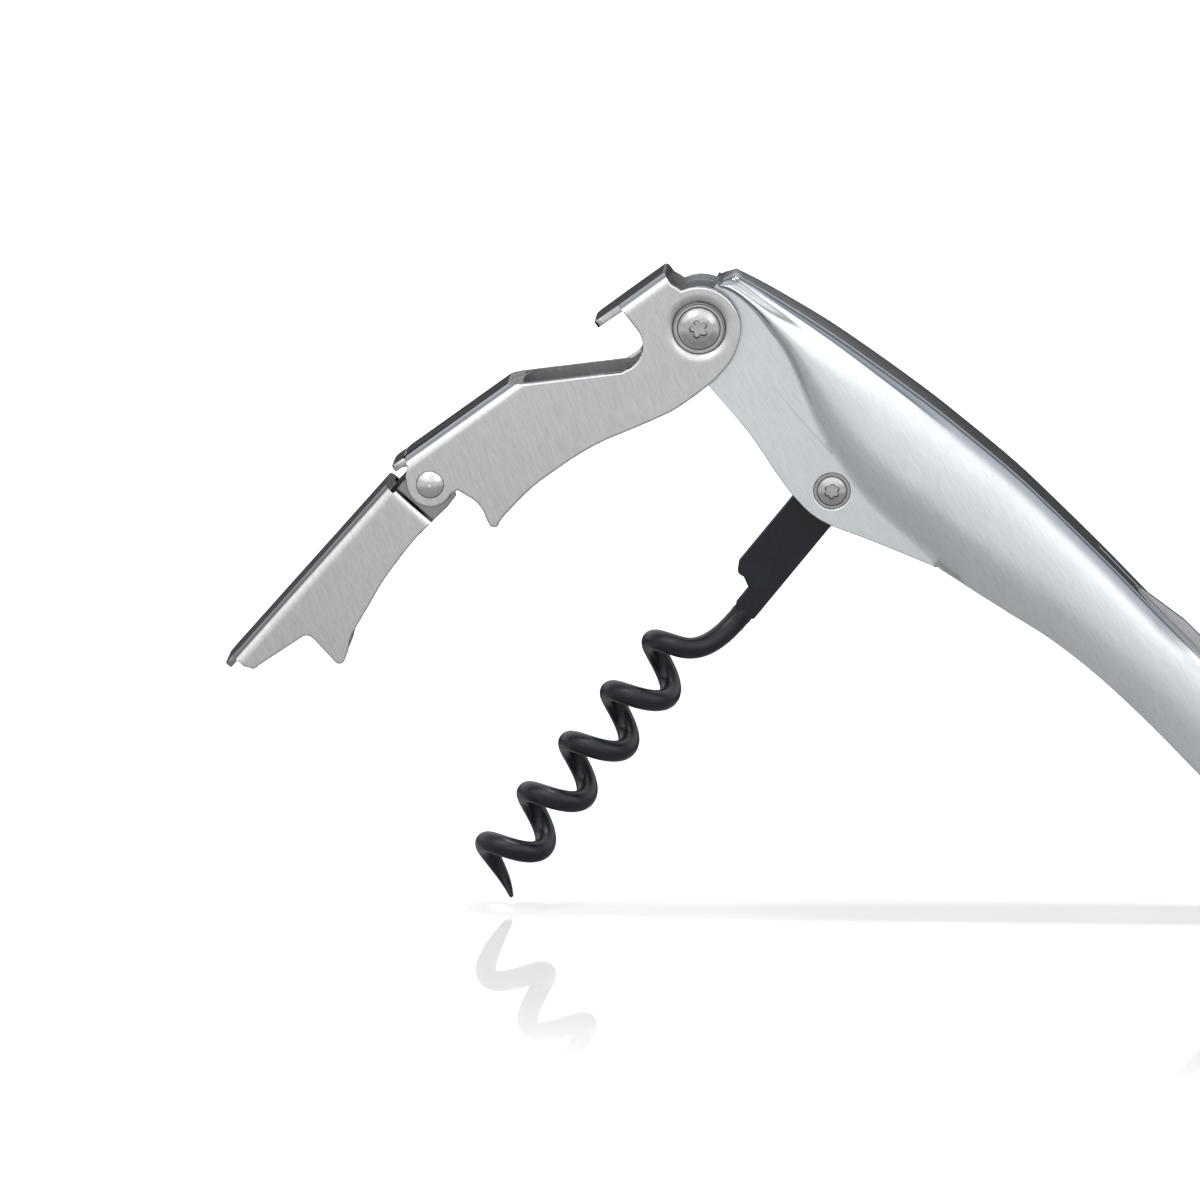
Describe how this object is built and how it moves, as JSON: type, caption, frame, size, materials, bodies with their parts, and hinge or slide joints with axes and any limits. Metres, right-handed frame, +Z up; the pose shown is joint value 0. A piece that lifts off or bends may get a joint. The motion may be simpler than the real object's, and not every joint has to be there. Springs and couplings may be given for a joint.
{
  "type": "two-stage lever corkscrew",
  "caption": "Pocket corkscrew: a pressed steel handle with a hinged two-stage lever, a coated worm, a cap lifter and a fold-out foil knife.",
  "frame": {"origin": "middle of the overall length, on the plane of symmetry of the sheet parts, at the level of the worm's point", "axes": "+X towards the handle's tail, +Y away from the screw heads, +Z up, the pose for use"},
  "size_m": [0.1526, 0.015, 0.0866],
  "materials": {
    "pressed_steel": "satin brushed stainless sheet, polished along the bends",
    "pin_steel": "turned stainless pins, screws, sleeves and spacers, semi-bright",
    "coating": "smooth near-black low-friction coating with a satin sheen"
  },
  "bodies": {
    "handle": {"handle_shell": "pressed_steel", "main_pivot_barrel": "pin_steel", "main_pivot_screw": "pin_steel", "main_pivot_sleeve": "pin_steel", "worm_pivot_barrel": "pin_steel", "worm_pivot_screw": "pin_steel", "worm_spacer_near": "pin_steel", "worm_spacer_far": "pin_steel", "knife_rivet": "pin_steel", "knife_spacer_near": "pin_steel", "knife_spacer_far": "pin_steel", "knife_stop_pin": "pin_steel"},
    "first_lever": {"upper_lever": "pressed_steel", "hinge_rivet": "pressed_steel", "hinge_sleeve": "pin_steel"},
    "second_lever": {"lower_lever": "pressed_steel"},
    "corkscrew_worm": {"worm": "coating"},
    "foil_knife": {"knife_blade": "pressed_steel"}
  },
  "joints": [
    {"name": "lever_fold", "type": "hinge", "parent": "handle", "child": "first_lever", "pos_m": [-0.01268, 0, 0.07942], "axis": [0, 1, 0], "range_deg": [-88.5, 30]},
    {"name": "worm_fold", "type": "hinge", "parent": "handle", "child": "corkscrew_worm", "pos_m": [0.00506, 0, 0.05734], "axis": [0, 1, 0], "range_deg": [-93.8, 31.8]},
    {"name": "tip_fold", "type": "hinge", "parent": "first_lever", "child": "second_lever", "pos_m": [-0.04849, 0, 0.0581], "axis": [0, 1, 0], "range_deg": [-10, 14]},
    {"name": "knife_fold", "type": "hinge", "parent": "handle", "child": "foil_knife", "pos_m": [0.07048, 0, 0.01268], "axis": [0, 1, 0], "range_deg": [0, 170]}
  ],
  "couplings": [
    {"joint": "worm_fold", "follows": "lever_fold", "ratio": 1.0598}
  ]
}
